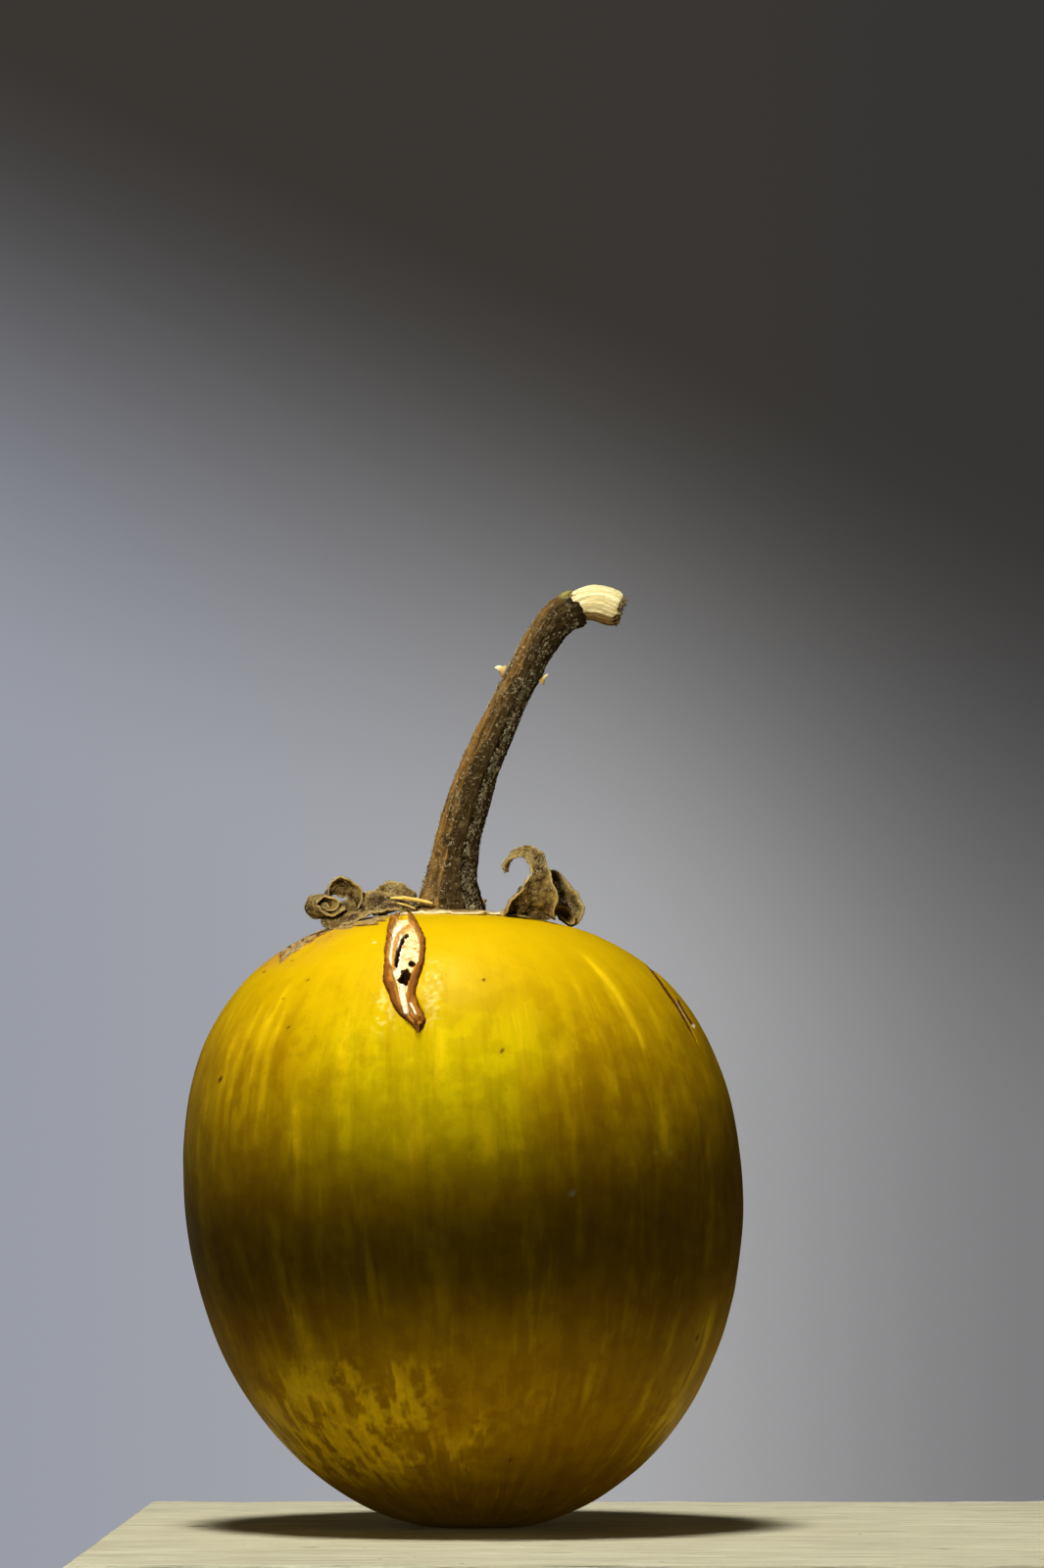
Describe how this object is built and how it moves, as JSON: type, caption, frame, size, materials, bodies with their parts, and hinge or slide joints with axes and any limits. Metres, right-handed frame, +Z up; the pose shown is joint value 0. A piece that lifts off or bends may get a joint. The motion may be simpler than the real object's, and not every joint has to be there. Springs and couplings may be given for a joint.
{
  "type": "eggplant",
  "caption": "Small round ripe eggplant, golden and streaked, with a healed growth crack, dried curled sepals and a curved woody stalk bared at its end; stands on a flat spot.",
  "frame": {"origin": "on the resting plane, under the middle of the fruit's box", "axes": "+Z up, from the flat blossom end to the stalk; -Y towards the front, which has the healed crack; +X to the side that the stalk bends to"},
  "size_m": [0.0654, 0.065, 0.1097],
  "materials": {
    "skin": "satin",
    "calyx": "matte",
    "bark": "matte",
    "wood": "matte",
    "sepal": "matte",
    "prickle": "satin"
  },
  "bodies": {
    "root": {"fruit": "skin", "calyx": "calyx", "stalk": "bark", "stalk_wood_tip": "wood", "sepal_right_front": "sepal", "sepal_right_back": "sepal", "sepal_back": "sepal", "sepal_left_back": "sepal", "sepal_left_front": "sepal", "prickle_left": "prickle", "prickle_right": "prickle"}
  },
  "joints": []
}
